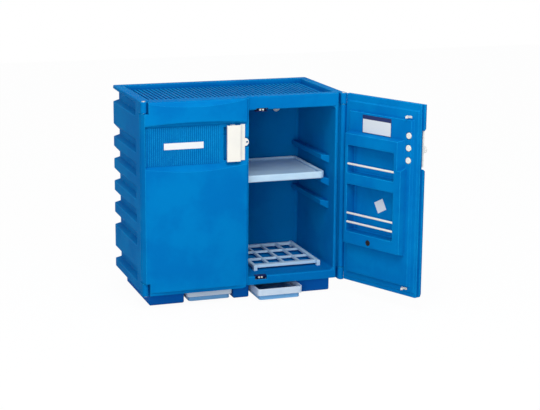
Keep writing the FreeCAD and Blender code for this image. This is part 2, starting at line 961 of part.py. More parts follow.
def hinge_pins():
    """Pins with a flat head: from above into the top of each door, from below into its bottom."""
    r, head, rise = s.pinRadius, s.pinHeadRadius, s.pinHeadHeight
    for hand in HANDS:
        for where, start, along, length in (
            ("top", s.cabinetHeight, "z", s.topLugHeight + s.lugGap + s.pinReach),
            ("bottom", s.bottomLugBottom, "-z", s.bottomLugTop - s.bottomLugBottom + s.lugGap + s.pinReach),
        ):
            profile = [
                (0, -length), (r - 1, -length), (r, 1 - length), (r, 0), (head, 0),
                (head, rise / 2), (head - 1.5, rise), (0, rise),
            ]
            centre = (hand.place(hinge_width), depth(s.hingeDepth), start)
            node(turned(f"{hand.name}_{where}_pin", profile, along, centre), f"{hand.name}_{where}_hinge_pin")


# Roller catches

def catch_bracket(hand, where, height):
    """A bent plate, open to the front, with the two pins its arms turn on."""
    body = new_body(f"{hand.name}{where}Bracket")
    front, back = depth(s.catchFront), depth(s.catchBack)
    tall, plate = s.catchHalfHeight, s.catchPlate
    middle = hand.place(s.catchWidth)
    section = [
        (front, height - tall), (back, height - tall), (back, height + tall), (front, height + tall),
        (front, height + tall - plate), (back - plate, height + tall - plate),
        (back - plate, height - tall + plate), (front, height - tall + plate),
    ]
    start = middle - s.catchHalfLength
    pad(body, outline(body, body.Name + "Section", "YZ_Plane", section, start), s.catchHalfLength * 2)
    turn = 1 if where == "Top" else -1
    for out in (-1, 1):
        centre = (middle + out * s.armPivotOut, depth(s.armPivotDepth))
        name = f"{body.Name}Pin{out + 1}"
        pad(body, ring(body, name, "XY_Plane", centre, s.armPinRadius, height - tall), tall * 2)
        centre = (middle + out * s.catchScrewOut, depth(s.catchScrewDepth))
        radius = s.catchScrewRadius + s.pinFit
        hole = ring(body, f"{body.Name}Hole{out + 1}", "XY_Plane", centre, radius, height)
        pocket(body, hole, tall + past, turn > 0)
    node(body, f"{hand.name}_{where.lower()}_catch_bracket")


def catch_arm(hand, where, height, out, name):
    """Two small plates and a roller pin, on a sleeve that turns on the bracket's pin."""
    middle = hand.place(s.catchWidth)
    pivot = (middle + out * s.armPivotOut, depth(s.armPivotDepth))
    roller = (middle + out * s.rollerOut, depth(s.rollerDepth))
    inner = s.rollerHalfHeight + s.rollerGap
    outer = inner + s.armPlate
    sleeve = s.catchHalfHeight - s.catchPlate - s.armClearance
    body = new_body(f"{hand.name}{where}{name}Arm")
    reach_x, reach_y = s.armPivotOut - s.rollerOut, s.armPivotDepth - s.rollerDepth
    length = math.hypot(reach_x.value, reach_y.value)
    # half the arm's width, square to its length
    side_x = s.armWidth / 2 * (reach_y.value / length) * out
    side_y = s.armWidth / 2 * (reach_x.value / length)
    corners = [
        (pivot[0] - side_x, pivot[1] + side_y), (roller[0] - side_x, roller[1] + side_y),
        (roller[0] + side_x, roller[1] - side_y), (pivot[0] + side_x, pivot[1] - side_y),
    ]
    base = body.Name
    pad(body, ring(body, base + "Sleeve", "XY_Plane", pivot, s.armPivotRadius, height - sleeve), sleeve * 2)
    for side, low in (("Low", height - outer), ("High", height + inner)):
        pad(body, outline(body, f"{base}{side}Plate", "XY_Plane", corners, low), s.armPlate)
        pad(body, ring(body, f"{base}{side}End", "XY_Plane", roller, s.armWidth / 2, low), s.armPlate)
    pad(body, ring(body, base + "Axle", "XY_Plane", roller, s.armPinRadius, height - outer), outer * 2)
    bore = ring(body, base + "Bore", "XY_Plane", pivot, s.armPinRadius + s.pinFit, height - sleeve - past)
    pocket(body, bore, (sleeve + past) * 2, True)
    node(body, f"{hand.name}_{where.lower()}_catch_{name.lower()}_arm")
    hole = s.armPinRadius + s.pinFit
    tall, round_ = s.rollerHalfHeight, s.rollerRadius
    profile = [
        (hole, -tall), (round_ - 0.6, -tall), (round_, 0.6 - tall), (round_, tall - 0.6),
        (round_ - 0.6, tall), (hole, tall),
    ]
    wheel = turned(f"{hand.name}{where}{name}Roller", profile, "z", (roller[0], roller[1], height))
    node(wheel, f"{hand.name}_{where.lower()}_catch_{name.lower()}_roller")


def screw(name, along, seat, radius, head, head_height, reach):
    """A pan-headed screw that points along an axis, with its head on the seat."""
    profile = [
        (0, reach), (radius - 0.5, reach), (radius, reach - 1), (radius, 0), (head, 0),
        (head, -head_height / 2), (head - 1, -head_height), (0, -head_height),
    ]
    return turned(name, profile, along, seat)


def catches():
    screws = []
    for hand in HANDS:
        for where, height in (("Top", top_catch), ("Bottom", bottom_catch)):
            catch_bracket(hand, where, height)
            catch_arm(hand, where, height, -hand.sign, "Inner")
            catch_arm(hand, where, height, hand.sign, "Outer")
            turn = 1 if where == "Top" else -1
            seat = height + turn * (s.catchHalfHeight - s.catchPlate)
            for out in (-1, 1):
                place = (hand.place(s.catchWidth) + out * s.catchScrewOut, depth(s.catchScrewDepth), seat)
                screws.append(screw(
                    f"{hand.name}{where}CatchScrew{out + 1}", "z" if turn > 0 else "-z", place,
                    s.catchScrewRadius, s.catchScrewHead, s.catchScrewHeadHeight, s.catchScrewReach,
                ))
    node(together("catchScrews", screws), "catch_screws")


# Doors

handle_middle = handle_low + s.handleHeight / 2
flat_seat = s.doorThickness + s.bandSeat
panel_face = flat_seat + s.innerPanelRise
housing_face = panel_face + s.housingRise
housing_hinge = opening_half - s.innerPanelHinge - s.innerPanelGap
barrel_heights = (s.bottomLugTop + s.lugGap, lug_bottom - s.lugGap)


def door_slab(hand):
    """The flat of the door, rounded on its face, with its lower free corner taken off."""
    free, hinge = s.doorGap, hinge_width - s.barrelRadius
    low, high = s.doorBottom, s.cabinetHeight
    corner = s.doorCorner
    points = [
        (free + corner, low), (hinge, low), (hinge, high), (free, high),
        (free, low + corner), (free + corner / 4, low + corner / 4),
    ]
    body = new_body(f"{hand.name}Slab")
    corners = [(hand.place(width), height) for width, height in points]
    front = depth(term(0))
    plan = outline(body, f"{hand.name}SlabFace", "XZ_Plane", corners, -front)
    pad(body, plan, s.doorThickness, True)
    hinge_edge = hand.place(hinge)
    dressed(
        body, "Fillet", s.doorRound, lambda e: at(e, 1, front) and not at(e, 0, hinge_edge),
        f"{hand.name}SlabRound",
    )
    return body


def door_edge(hand):
    """The barrel that turns on the pins, and the bevel between it and the door's face."""
    bevel_x = hinge_width + s.barrelRadius * cosine(s.barrelBevel)
    bevel_y = s.hingeDepth - s.barrelRadius * sine(s.barrelBevel)
    inner = hinge_width - s.barrelRadius
    points = [
        (inner - past, term(0)), (hinge_width + s.barrelFace, term(0)), (bevel_x, bevel_y),
        (hinge_width, s.hingeDepth), (inner - past, s.doorThickness),
    ]
    body = new_body(f"{hand.name}BarrelBevel")
    low, high = barrel_heights
    pad(body, outline(body, f"{hand.name}BevelPlan", "XY_Plane", hand.corners(points), low), high - low)
    centre = (hand.place(hinge_width), depth(s.hingeDepth), low)
    return [body, cylinder(f"{hand.name}Barrel", "z", centre, s.barrelRadius, high - low)]


def bulge_curve(hand, name, low, high, skin):
    """The wide cylinder that a door's swelling face is part of, less a skin."""
    edge = s.doorGap + s.bulgeSide
    width = hinge_width - edge
    radius = (width * width / 4 + s.bulgeRise * s.bulgeRise) / (2 * s.bulgeRise)
    centre = (hand.place(edge + width / 2), depth(radius - s.bulgeRise), low - past)
    return cylinder(f"{hand.name}{name}Curve", "z", centre, radius - skin, high - low + 2 * past)


def bulge(hand, name, low, high):
    """A panel that swells from the face, with sloping ends."""
    curve = bulge_curve(hand, name, low, high, term(0))
    x = hand.span(s.doorGap + s.bulgeSide, hinge_width)
    slope = s.bulgeSlope * 1.5
    body = taper(
        f"{hand.name}{name}Block", "y",
        (depth(-s.bulgeRise * 1.5), x, (low + s.bulgeFoot * 1.5, high - slope)),
        (depth(s.doorRound), x, (low - s.bulgeFoot * s.doorRound / s.bulgeRise,
                                 high + s.bulgeSlope * s.doorRound / s.bulgeRise)),
    )
    return common(f"{hand.name}{name}", curve, body)


def inner_band(hand):
    """The low step that runs round the inside of the door."""
    hinge = hinge_width - s.lugClearance
    free, low, high = s.bandEdge, s.doorBottom + s.bandRise, s.cabinetHeight - s.bandFall
    corner = s.lugClearance
    points = [
        (free, low), (hinge - corner, low), (hinge, low + corner), (hinge, high - corner),
        (hinge - corner, high), (free, high),
    ]
    body = new_body(f"{hand.name}Band")
    corners = [(hand.place(width), height) for width, height in points]
    start = -depth(s.doorThickness - past)
    pad(body, outline(body, f"{hand.name}BandPlan", "XZ_Plane", corners, start), s.bandSeat + past, True)
    dressed(
        body, "Chamfer", s.bandSeat - s.seatGap, lambda e: at(e, 1, depth(flat_seat)), f"{hand.name}BandBevel"
    )
    return body


def inner_panel(hand):
    """The raised part that fits inside the cabinet's opening."""
    hinge = opening_half - s.innerPanelHinge
    top = opening_top - s.innerPanelTop
    low = s.sillTop + s.innerPanelGap
    slope = s.innerPanelSlope
    return taper(
        f"{hand.name}InnerPanel", "y",
        (depth(flat_seat - past), hand.span(s.innerPanelFree, hinge), (low, top)),
        (depth(panel_face), hand.span(s.innerPanelFree + slope, hinge - 2), (low + 2, top - 2)),
    )


def pocket_housing(hand):
    """The box that stands on the inner panel and holds the pockets, cut away beside the screw caps."""
    box = taper(
        f"{hand.name}HousingBox", "y",
        (depth(panel_face - past), hand.span(s.housingFree, housing_hinge), (s.housingBottom, housing_top)),
        (depth(housing_face), hand.span(s.housingFree + s.housingSlope, housing_hinge - 1),
         (s.housingBottom + s.housingSlope, housing_top - s.housingTopSlope)),
    )
    free = s.housingFree - s.housingSlope
    top = housing_top + past
    corner = taper(
        f"{hand.name}CapCut", "y",
        (depth(panel_face), hand.span(free, s.capCutInner), (cap_cut, top)),
        (depth(housing_face + past), hand.span(free, s.capCutOuter), (cap_cut - s.capCutSlope, top)),
    )
    return cut(f"{hand.name}Housing", box, [corner])


def pockets(hand):
    spaces = []
    x = hand.span(s.pocketFree, s.pocketHinge)
    mouth = housing_face + past
    for name, low, high, floor in (
        ("Upper", upper_pocket_low, upper_pocket_high, s.handBandDepth + s.wall),
        ("Lower", s.lowerPocketBottom, lower_pocket_high, s.pocketFloor),
    ):
        spaces.append(rounded_block(
            f"{hand.name}{name}Pocket", x, (depth(floor), depth(mouth)), (low, high), s.pocketRound,
            lambda e: not at(e, 1, depth(mouth)),
        ))
    return spaces


ROD_HEIGHTS = {"upper": upper_rod, "middle": s.middleRodHeight, "lower": s.lowerRodHeight}


def rod_span(hand, spare):
    low = s.pocketFree - s.rodSocket - spare
    high = s.pocketHinge + s.rodSocket + spare
    return low, high


def rod_sockets(hand):
    sockets = []
    low, high = rod_span(hand, s.seatGap)
    x = hand.span(low, high)
    for name, height in ROD_HEIGHTS.items():
        centre = (x[0], depth(housing_face - s.rodSetback), height)
        sockets.append(cylinder(f"{hand.name}{name}Socket", "x", centre, s.rodRadius + s.pinFit, high - low))
    return sockets


def door_hollow(hand):
    """The space between the door's two skins, with a skin left round each pocket and fitting."""
    skin = s.wall
    face, seat = depth(skin), depth(panel_face - skin)
    free, hinge = s.innerPanelFree + s.innerPanelSlope + skin, housing_hinge - skin
    tall = (s.sillTop + s.innerPanelGap + 2 * skin, opening_top - s.innerPanelTop - 2 * skin)
    box_low, box_high = s.housingBottom + s.housingSlope, housing_top - s.housingTopSlope
    box = hand.span(s.housingFree + s.housingSlope + skin, hinge - skin)
    low, high = tall[0], lower_bulge - s.bulgeSlope - skin
    swell = common(
        f"{hand.name}SwellHollow", bulge_curve(hand, "Hollow", low, high, skin),
        block(f"{hand.name}SwellBlock", hand.span(free, hinge), (depth(-s.bulgeRise), face + past),
              (low, high)),
    )
    space = fuse(f"{hand.name}HollowSpace", [
        block(f"{hand.name}FlatHollow", hand.span(free, hinge), (face, seat), tall),
        block(f"{hand.name}HousingHollow", box, (seat - past, depth(housing_face - skin)),
              (box_low + skin, box_high - skin)),
        swell,
    ])
    spare = skin + s.rodSocket
    sides = hand.span(s.pocketFree - spare, s.pocketHinge + spare)
    behind = (depth(s.pocketFloor - skin), depth(housing_face))
    across = hand.span(free - past, hinge + past)
    band = (band_low - s.handBandSlope - skin, band_high + s.handBandSlope + skin)
    column = (cap_cut - s.capCutSlope - skin, housing_top + past)
    upper = (upper_pocket_low - skin, upper_pocket_high + skin)
    lower = (s.lowerPocketBottom - skin, lower_pocket_high + skin)
    kept = [
        block(f"{hand.name}UpperPocketSkin", sides, behind, upper),
        block(f"{hand.name}LowerPocketSkin", sides, behind, lower),
        block(f"{hand.name}BandSkin", across, (depth(-s.bulgeRise), depth(s.handBandDepth + skin)), band),
        block(f"{hand.name}FixingSkin", hand.span(free - past, s.scoopOuter + skin),
              (depth(-s.bulgeRise), depth(housing_face)), column),
    ]
    return cut(f"{hand.name}DoorHollow", space, kept)


def handle_screw_heights():
    return [handle_middle + s.screwPitch * step for step in (-1, 0, 1)]


def screw_wells(hand):
    """Through holes for the handle's screws, with a well for each head and its cap."""
    tools = []
    x = hand.place(s.screwWidth)
    for count, height in enumerate(handle_screw_heights()):
        for part, radius, deep in (
            ("Hole", s.screwRadius + s.pinFit, panel_face),
            ("Head", s.screwHead + s.seatGap, s.capWellDepth + s.screwHeadHeight),
            ("Well", s.capWell, s.capWellDepth),
        ):
            centre = (x, depth(panel_face + past), height)
            tools.append(cylinder(f"{hand.name}{part}{count}", "-y", centre, radius, deep + past))
    return tools


def strike_screw_places(hand):
    for height in (top_catch, bottom_catch):
        for out in (-1, 1):
            yield hand.place(s.catchWidth) + out * s.strikeScrewOut, height


def small_holes(hand):
    """Holes for the strikes' screws, the plug and the hinge pins."""
    tools = []
    for count, (x, height) in enumerate(strike_screw_places(hand)):
        centre = (x, depth(flat_seat + past), height)
        length = s.strikeScrewReach + past
        radius = s.strikeScrewRadius + s.pinFit
        tools.append(cylinder(f"{hand.name}StrikeHole{count}", "-y", centre, radius, length))
    centre = (hand.place(s.plugWidth), depth(housing_face + past), s.plugHeight)
    tools.append(cylinder(f"{hand.name}PlugHole", "-y", centre, s.plugStem + s.pinFit, s.wall + 2 * past))
    low, high = barrel_heights
    x, y = hand.place(hinge_width), depth(s.hingeDepth)
    bore, length = s.pinRadius + s.pinFit, s.pinReach + s.seatGap + past
    tools.append(cylinder(f"{hand.name}LowBarrelBore", "z", (x, y, low - past), bore, length))
    tools.append(cylinder(f"{hand.name}HighBarrelBore", "-z", (x, y, high + past), bore, length))
    return tools


def hand_band(hand):
    """The recess across the door that holds the handle, and the scoop for fingers behind it."""
    low, high, slope = band_low, band_high, s.handBandSlope
    # the right door's lip is cut through, and the left door's rear lip is left whole
    edge = -past if hand is RIGHT else -s.lipOverlap - past
    x = hand.span(edge, hinge_width)
    proud = s.bulgeRise + past
    reach = proud / s.handBandDepth
    recess = taper(
        f"{hand.name}HandBand", "y",
        (depth(-proud), x, (low - slope * (1 + reach), high + slope * (1 + reach))),
        (depth(s.handBandDepth), x, (low, high)),
    )
    margin = s.scoopMargin
    scoop = rounded_block(
        f"{hand.name}Scoop", hand.span(s.scoopInner, s.scoopOuter),
        (depth(s.handBandDepth - past), depth(s.handBandDepth + s.scoopDepth)), (low + margin, high - margin),
        s.pocketRound, lambda e: at(e, 1, depth(s.handBandDepth + s.scoopDepth)),
    )
    return [recess, scoop]


def flutes(hand):
    start = s.fluteFirst
    x = hand.span(start, start + s.fluteWidth)
    # the row runs along +X, so the left door's row starts at its far end
    if hand is LEFT:
        run = s.flutePitch * (s.fluteCount - 1)
        x = (x[0] - run, x[1] - run)
    y = (depth(s.handBandDepth - s.fluteHeight), depth(s.handBandDepth + past))
    z = (band_low + s.seatGap, band_high - s.seatGap)
    return ribs(
        f"{hand.name}Flutes", f"{hand.name}FirstFlute", ((x, y), z), s.flutePitch, s.fluteCount, "X_Axis"
    )


def lug_room(hand):
    """Clears the door's hinge side round the two lugs."""
    x = hand.span(hinge_width - s.lugClearance, half_width + s.lugRadius)
    y = (depth(-s.bulgeRise - past), depth(s.hingeDepth + s.barrelRadius + past))
    low, high = barrel_heights
    return [
        block(f"{hand.name}TopLugRoom", x, y, (high, s.cabinetHeight + past)),
        block(f"{hand.name}BottomLugRoom", x, y, (s.doorBottom - past, low)),
    ]


def door(hand):
    low, high = s.doorBottom + s.lowerBulgeBottom, s.cabinetHeight - s.bulgeTopMargin
    pieces = [door_slab(hand)] + door_edge(hand)
    pieces.append(bulge(hand, "UpperBulge", upper_bulge, high))
    pieces.append(bulge(hand, "LowerBulge", low, lower_bulge))
    pieces += [inner_band(hand), inner_panel(hand), pocket_housing(hand)]
    z = (s.doorBottom - past, s.cabinetHeight + past)
    trims = []
    if hand is LEFT:
        pieces.append(block(
            "leftLip", hand.span(-s.lipOverlap, s.doorGap + s.doorRound),
            (depth(s.lipThickness + s.lipClearance), depth(s.doorThickness)),
            (s.doorBottom + s.doorCorner, s.cabinetHeight - s.doorRound),
        ))
        trims.append(block(
            "padlockRoom", hand.span(-s.lipOverlap - past, s.tabCentre + s.padlockRadius),
            (depth(s.handBandDepth - past), depth(s.handBandDepth + s.padlockWellDepth)),
            (handle_middle - s.padlockWell, handle_middle + s.padlockWell),
        ))
    else:
        x = hand.span(-past, s.doorGap + s.lipReach)
        trims.append(block("rightRebate", x, (depth(s.lipThickness), depth(s.doorThickness + past)), z))
    solid = fuse(f"{hand.name}DoorSolid", pieces)
    tools = lug_room(hand) + pockets(hand) + rod_sockets(hand) + [door_hollow(hand)]
    tools += screw_wells(hand) + small_holes(hand) + trims
    opened = cut(f"{hand.name}DoorOpened", cut(f"{hand.name}DoorBand", solid, hand_band(hand)), tools)
    door_node(hand, fuse(f"{hand.name}DoorMoulding", [opened, flutes(hand)]), "door")


def handle(hand):
    """A moulded pull: a proud plate, a solid seat for its screws, and a stepped flange with a tab."""
    flange = s.rightFlangeDepth if hand is RIGHT else s.leftFlangeDepth
    proud, wall, thick = -s.handleProud, s.handleWall, s.flangeThickness
    inner = s.handleWall - s.handleProud
    points = [
        (s.handleOuter, proud), (s.handleFree, proud), (s.handleStep, flange), (s.handleFlange, flange),
        (s.handleFlange, flange + thick), (s.handleStep + wall / 2, flange + thick),
        (s.handleFree + wall / 2, inner), (s.seatInner, inner), (s.seatInner, s.handBandDepth),
        (s.seatOuter, s.handBandDepth), (s.seatOuter, inner), (s.handleOuter - wall, inner),
        (s.handleOuter - wall, proud + s.handleLip), (s.handleOuter, proud + s.handleLip),
    ]
    body = new_body(f"{hand.name}Handle")
    plan = outline(body, body.Name + "Plan", "XY_Plane", hand.corners(points), handle_low)
    pad(body, plan, s.handleHeight)
    dressed(
        body, "Fillet", s.handleRound,
        lambda e: runs_along(e, 2) and at(e, 1, depth(proud)), body.Name + "Edges",
    )
    # a sketch on the XZ plane faces the front, so its offset is the other way
    tab = ring(body, body.Name + "Tab", "XZ_Plane", (hand.place(s.tabCentre), handle_middle), s.tabRadius,
               -depth(flange))
    pad(body, tab, thick, True)
    hole = ring(body, body.Name + "Padlock", "XZ_Plane", (term(0), handle_middle), s.padlockRadius,
                -depth(flange - past))
    pocket(body, hole, thick + 2 * past)
    for count, height in enumerate(handle_screw_heights()):
        centre = (hand.place(s.screwWidth), height)
        bore = ring(body, f"{body.Name}Screw{count}", "XZ_Plane", centre, s.screwRadius + s.pinFit,
                    -depth(s.handBandDepth - s.screwReach - past))
        pocket(body, bore, s.screwReach + 2 * past)
    door_node(hand, body, "handle")


def handle_fixings(hand):
    screws, caps = [], []
    x = hand.place(s.screwWidth)
    well = panel_face - s.capWellDepth
    seat = well - s.screwHeadHeight
    for count, height in enumerate(handle_screw_heights()):
        screws.append(screw(
            f"{hand.name}HandleScrew{count}", "-y", (x, depth(seat), height), s.screwRadius, s.screwHead,
            s.screwHeadHeight, seat - s.handBandDepth + s.screwReach,
        ))
        radius, tall, edge = s.capRadius, s.capHeight, s.capRound
        profile = [
            (0, 0), (radius, 0), (radius, tall - edge), (radius - edge / 2, tall - edge / 4),
            (radius - edge, tall), (0, tall),
        ]
        caps.append(turned(f"{hand.name}ScrewCap{count}", profile, "y", (x, depth(well), height)))
    door_node(hand, together(f"{hand.name}HandleScrews", screws), "handle_screws")
    door_node(hand, together(f"{hand.name}ScrewCaps", caps), "screw_caps")


def strikes(hand):
    """Barbed tongues that push in between the rollers, and their screws."""
    x = hand.place(s.catchWidth)
    base, plate = depth(flat_seat), depth(flat_seat + s.strikePlate)
    barb, tip = depth(s.strikeBarbDepth), depth(s.strikeTip)
    half, neck, wide = s.strikeHalfLength, s.strikeNeck, s.strikeBarb
    right = [(half, base), (half, plate), (neck, plate), (neck, barb), (wide, barb)]
    plan = [(x + width, y) for width, y in right] + [(x, tip)]
    plan += [(x - width, y) for width, y in reversed(right)]
    for where, height in (("top", top_catch), ("bottom", bottom_catch)):
        body = new_body(f"{hand.name}_{where}_strikeBody")
        low = height - s.strikeHalfHeight
        pad(body, outline(body, body.Name + "Plan", "XY_Plane", plan, low), s.strikeHalfHeight * 2)
        for out in (-1, 1):
            centre = (x + out * s.strikeScrewOut, height)
            hole = ring(body, f"{body.Name}Hole{out + 1}", "XZ_Plane", centre,
                        s.strikeScrewRadius + s.pinFit, -(base - past))
            pocket(body, hole, s.strikePlate + 2 * past)
        door_node(hand, body, f"{where}_strike")
    screws = []
    for count, (width, height) in enumerate(strike_screw_places(hand)):
        screws.append(screw(
            f"{hand.name}StrikeScrew{count}", "-y", (width, plate, height), s.strikeScrewRadius,
            s.strikeScrewHead, s.strikeScrewHeadHeight, s.strikeScrewReach,
        ))
    door_node(hand, together(f"{hand.name}StrikeScrews", screws), "strike_screws")


def door_fittings(hand):
    """Rods across the pockets, the plug of the moulding, and the blank plate on the door's face."""
    low, high = rod_span(hand, term(0))
    start = hand.span(low, high)[0]
    for name, height in ROD_HEIGHTS.items():
        radius, length = s.rodRadius, high - low
        profile = [
            (0, 0), (radius - 1, 0), (radius, 1), (radius, length - 1), (radius - 1, length), (0, length),
        ]
        centre = (start, depth(housing_face - s.rodSetback), height)
        door_node(hand, turned(f"{hand.name}{name}Rod", profile, "x", centre), f"{name}_rod")
    rim, stem, flange = s.plugRadius, s.plugStem, s.plugRim
    profile = [
        (0, -s.plugStemLength), (stem, -s.plugStemLength), (stem, 0), (rim, 0), (rim, flange / 2),
        (rim - 1.5, flange), (stem - 1, flange), (stem - 2, flange / 2), (0, flange / 2),
    ]
    centre = (hand.place(s.plugWidth), depth(housing_face), s.plugHeight)
    door_node(hand, turned(f"{hand.name}Plug", profile, "y", centre), "moulding_plug")
    face = depth(s.handBandDepth - s.fluteHeight)
    plate = block(
        f"{hand.name}Plate", hand.span(s.plateFree, s.plateFree + s.plateLength),
        (face - s.plateThickness, face), (plate_low, plate_low + s.plateHeight),
    )
    door_node(hand, plate, "label_plate")


def door_cards(hand):
    """A blank card on the inner panel, and a small one leant in the lower pocket."""
    face = depth(panel_face)
    card = block(
        "infoCard", hand.span(s.cardFree, s.cardFree + s.cardLength),
        (face, face + s.cardThickness), (card_low, card_low + s.cardHeight),
    )
    door_node(hand, card, "info_card")
    body = new_body("pocketCard")
    long, broad, tilt = s.tagLength / 2, s.tagBreadth / 2, s.tagTilt
    corners = []
    for across, up in ((-1, -1), (1, -1), (1, 1), (-1, 1)):
        u, v = long * across, broad * up
        corners.append((
            s.tagWidth + u * cosine(tilt) + v * sine(tilt), tag_middle - u * sine(tilt) + v * cosine(tilt)
        ))
    start = -depth(s.pocketFloor)
    pad(body, outline(body, "pocketCardPlan", "XZ_Plane", corners, start), s.cardThickness, True)
    door_node(hand, body, "pocket_card")


# Shelf, racks and trays

def shelf():
    """A moulded tray with a raised edge on top and ribs beneath."""
    half = s.shelfWidth / 2
    front, back = depth(s.shelfFront), depth(compartment_back - s.shelfBackGap)
    low = shelf_ledge + s.seatGap
    top = low + s.shelfHeight
    body = new_body("shelfBody")

    def rectangle(left, right, inset):
        return [(left, front + inset), (right, front + inset), (right, back - inset), (left, back - inset)]

    plan = rectangle(-half, half, term(0))
    pad(body, outline(body, "shelfPlan", "XY_Plane", plan, low), s.shelfHeight)
    dressed(body, "Fillet", s.shelfRound, lambda e: runs_along(e, 2), "shelfCorners")
    lip = s.shelfLip
    inner = rectangle(lip - half, half - lip, lip)
    dish = outline(body, "shelfDishPlan", "XY_Plane", inner, top - s.shelfDish)
    pocket(body, dish, s.shelfDish + past, True)
    dressed(
        body, "Fillet", s.shelfRound - lip,
        lambda e: runs_along(e, 2) and (at(e, 0, half - lip) or at(e, 0, lip - half)), "shelfDishCorners",
    )
    dressed(body, "Fillet", s.shelfEdgeRound, lambda e: at(e, 2, top) or at(e, 2, low), "shelfLipRound")
    skin = s.shelfSkin
    cells = s.shelfRibs
    span = (2 * half - 2 * lip - s.shelfRibWidth * (cells - 1)) / cells
    start = -half + lip
    first = rectangle(start, start + span, lip)
    cell = pocket(body, outline(body, "shelfCell", "XY_Plane", first, low - past),
                  s.shelfHeight - s.shelfDish - skin + past, True)
    row = body.newObject("PartDesign::LinearPattern", "shelfCellRow")
    row.Originals = [cell]
    row.Direction = (plane(body, "X_Axis"), [""])
    bind(row, "Length", (span + s.shelfRibWidth) * (cells - 1))
    bind(row, "Occurrences", cells)
    body.Tip = row
    node(body, "shelf")


def rack(hand):
    """A low stand: two side rails on feet, with bars and slats between them."""
    middle = hand.place(s.rackCentre)
    half = s.rackWidth / 2
    floor = s.sillTop + s.seatGap
    low = floor + s.rackFootHeight
    top = low + s.rackHeight
    front, back = depth(s.rackFront), depth(s.rackFront + s.rackDepth)
    pieces = []
    for side in (-1, 1):
        edge = middle + side * half
        x = (edge, edge + s.rackRail) if side < 0 else (edge - s.rackRail, edge)
        rail = rounded_block(
            f"{hand.name}Rail{side + 1}", x, (front - s.rackFootReach, back), (low, top + s.rackRailRise),
            s.rackRound, lambda e: runs_along(e, 1),
        )
        pieces.append(rail)
        for end, y in (
            ("Front", (front - s.rackFootReach, front - s.rackFootReach + s.rackFootLength)),
            ("Back", (back - s.rackFootLength, back)),
        ):
            pieces.append(block(f"{hand.name}RackFoot{end}{side + 1}", x, y, (floor, low + past)))
    inner = (middle - half + past, middle + half - past)
    bar = s.rackBar
    for name, start, high in (
        ("Front", front, top),
        ("Second", front + bar + s.rackSlatDrop, top - s.rackSlatDrop),
        ("Back", back - bar, top),
    ):
        pieces.append(block(f"{hand.name}RackBar{name}", inner, (start, start + bar), (low, high)))
    slat = (front + past, back - past)
    gap = (s.rackWidth - 2 * s.rackRail - s.rackSlat * s.rackSlats) / (s.rackSlats + 1)
    for count in range(int(s.rackSlats.value)):
        start = middle - half + s.rackRail + gap + (gap + s.rackSlat) * count
        pieces.append(block(
            f"{hand.name}RackSlat{count}", (start, start + s.rackSlat), slat, (low, top - s.rackSlatDrop)
        ))
    for count in (1, 2):
        start = front + (back - front) * count / 3
        pieces.append(block(
            f"{hand.name}RackCross{count}", inner, (start, start + s.rackSlat), (low, top - s.rackSlatDrop)
        ))
    node(fuse(f"{hand.name}Rack", pieces), f"{hand.name}_rack")


def tray(hand):
    """A stepped tub: its deep edge band rides on the runners between the feet."""
    pulled = s.trayPulledOut if hand is RIGHT else term(0)
    front = depth(s.trayFront) - pulled
    back = front + s.trayDepth
    middle = hand.place(s.trayCentre)
    half = s.trayWidth / 2
    wall = s.trayWall

    def tub(name, inset, heights, radius):
        reach = half - inset
        span = (middle - reach, middle + reach)
        run = (front + inset, back - inset)
        return rounded_block(f"{hand.name}{name}", span, run, heights, radius, lambda e: runs_along(e, 2))

    rim = tub("TrayRim", term(0), (s.trayRimBottom, s.trayTop), s.trayRound)
    base = tub("TrayBase", s.trayInset, (s.trayBottom, s.trayRimBottom + past), s.trayRound)
    wide = tub("TrayMouth", wall, (s.trayRimBottom + wall, s.trayTop + past), s.trayRound - wall)
    deep = tub("TrayWell", s.trayInset + wall, (s.trayBottom + wall, s.trayTop), s.trayRound - wall)
    solid = fuse(f"{hand.name}TraySolid", [rim, base])
    node(cut(f"{hand.name}Tray", solid, [wide, deep]), f"{hand.name}_tray")


def write_parts():
    doc.recompute()
    failed = [thing.Name for thing in doc.Objects if {"Invalid", "Error"} & set(thing.State)]
    if failed:
        raise RuntimeError(f"objects that failed: {failed}")
    os.makedirs("parts", exist_ok=True)
    for part in NODES:
        shape = part.Shape
        if shape.isNull() or not shape.isValid() or not shape.Solids:
            raise RuntimeError(f"{part.Label} has no valid shape")
    for part in NODES:
        part.Shape.exportStep(f"parts/{part.Label}.step")
        print(f"{part.Label}: {len(part.Shape.Solids)} solids, {part.Shape.Volume / 1000:.1f} cm3")


cabinet_body()
vent_caps()
hinge_pins()
catches()
for side in HANDS:
    door(side)
    handle(side)
    handle_fixings(side)
    strikes(side)
    door_fittings(side)
    rack(side)
    tray(side)
door_cards(RIGHT)
shelf()
write_parts()
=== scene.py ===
import math

import bmesh
import bpy
from mathutils import Matrix, Vector


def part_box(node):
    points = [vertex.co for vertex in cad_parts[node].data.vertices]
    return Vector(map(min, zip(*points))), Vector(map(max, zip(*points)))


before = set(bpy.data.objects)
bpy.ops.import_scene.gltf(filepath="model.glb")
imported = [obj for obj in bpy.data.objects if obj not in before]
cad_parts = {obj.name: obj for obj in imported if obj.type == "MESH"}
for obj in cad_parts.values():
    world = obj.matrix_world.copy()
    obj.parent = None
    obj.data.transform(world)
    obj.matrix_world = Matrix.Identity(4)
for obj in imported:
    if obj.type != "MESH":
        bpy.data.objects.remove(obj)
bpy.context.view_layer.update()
scene = bpy.context.scene
scene.view_settings.view_transform = "Standard"
print("frame loaded:", len(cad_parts), "nodes")

# fitted to the straight edges of the cabinet
camera = {
    "place": (-1.95778, -6.12881, 1.88092),
    "yaw": 19.389,
    "pitch": 13.087,
    "roll": 0.475,
    "focalPixels": 1456.34,
    "imageWidth": 540,
    "sensor": 36.0,
    "sees": 60,  # metres
}


